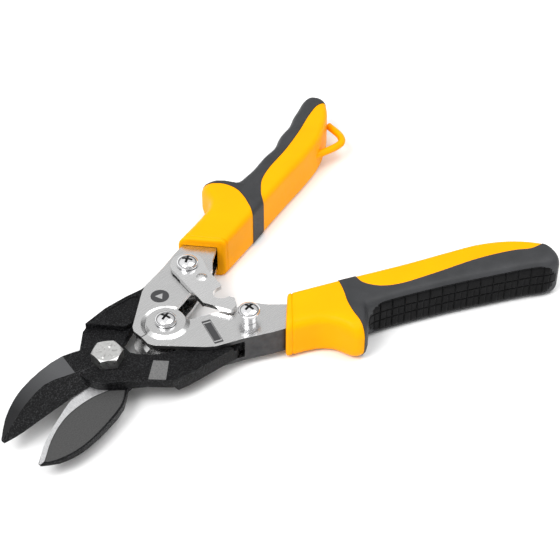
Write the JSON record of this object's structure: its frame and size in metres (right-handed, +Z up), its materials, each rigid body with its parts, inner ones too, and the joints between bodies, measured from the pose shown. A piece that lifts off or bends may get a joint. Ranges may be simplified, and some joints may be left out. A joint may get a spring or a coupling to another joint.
{
  "type": "aviation snips",
  "caption": "Compound-action sheet-metal snips with offset jaws, two hinged steel handles in moulded grips, an opening spring and a hooked latch.",
  "frame": {"origin": "on the blade pivot's axis, at the end of the pivot bolt, which lies flush with the nut and level with the grips' undersides", "axes": "+Z up along the blade pivot, +X along the tool's centre line from the jaws towards the handles, +Y towards the handle that carries the latch; the tool lies flat, fully open"},
  "size_m": [0.2499, 0.1666, 0.025],
  "materials": {
    "blade_steel": "black oxide, grainy satin",
    "zinc": "bright zinc plate",
    "frame_nickel": "satin nickel plate",
    "latch_nickel": "satin nickel plate",
    "chrome": "polished",
    "spring_steel": "drawn wire, oiled",
    "grip_yellow": "smooth moulded plastic",
    "grip_rubber": "charcoal soft-touch, with a black grooved pad"
  },
  "bodies": {
    "lower_blade": {"blade_lower": "blade_steel", "blade_pivot_bolt": "zinc", "blade_pivot_nut": "zinc", "blade_pivot_lock_washer": "zinc"},
    "upper_blade": {"blade_upper": "blade_steel"},
    "handle_a": {"handle_frame_a": "frame_nickel", "grip_core_a": "grip_yellow", "grip_overmould_a": "grip_rubber", "latch_pivot_screw": "chrome", "latch_pivot_nut": "zinc", "latch_wave_washer": "spring_steel", "tang_washer_a_upper": "zinc", "tang_washer_a_lower": "zinc", "handle_pivot_sleeve": "zinc", "opening_spring": "spring_steel"},
    "handle_b": {"handle_frame_b": "frame_nickel", "grip_core_b": "grip_yellow", "grip_overmould_b": "grip_rubber", "latch_stud": "chrome", "latch_stud_nut": "zinc", "tang_washer_b_upper": "zinc", "tang_washer_b_lower": "zinc", "handle_pivot_screw": "chrome", "handle_pivot_nut": "zinc"},
    "latch": {"latch": "latch_nickel"}
  },
  "joints": [
    {"name": "blade_pivot", "type": "hinge", "parent": "lower_blade", "child": "upper_blade", "pos_m": [0, 0, 0.0105], "axis": [0, 0, 1], "range_deg": [0, 17.6]},
    {"name": "handle_a_tang_pivot", "type": "hinge", "parent": "lower_blade", "child": "handle_a", "pos_m": [0.0595, 0.0216, 0.0105], "axis": [0, 0, 1], "range_deg": [-8.3, 0]},
    {"name": "handle_pivot", "type": "hinge", "parent": "handle_a", "child": "handle_b", "pos_m": [0.0308, 0, 0.0105], "axis": [0, 0, 1], "range_deg": [0, 34], "stiffness_Nm_per_rad": 0.8, "springref_deg": -20.05, "deforming": ["opening_spring"]},
    {"name": "latch_pivot", "type": "hinge", "parent": "handle_a", "child": "latch", "pos_m": [0.0595, 0.0216, 0.0105], "axis": [0, 0, 1], "range_deg": [0, 17]}
  ],
  "couplings": [
    {"joint": "blade_pivot", "follows": "handle_pivot", "ratio": 0.5165},
    {"joint": "handle_a_tang_pivot", "follows": "handle_pivot", "ratio": -0.2418}
  ]
}
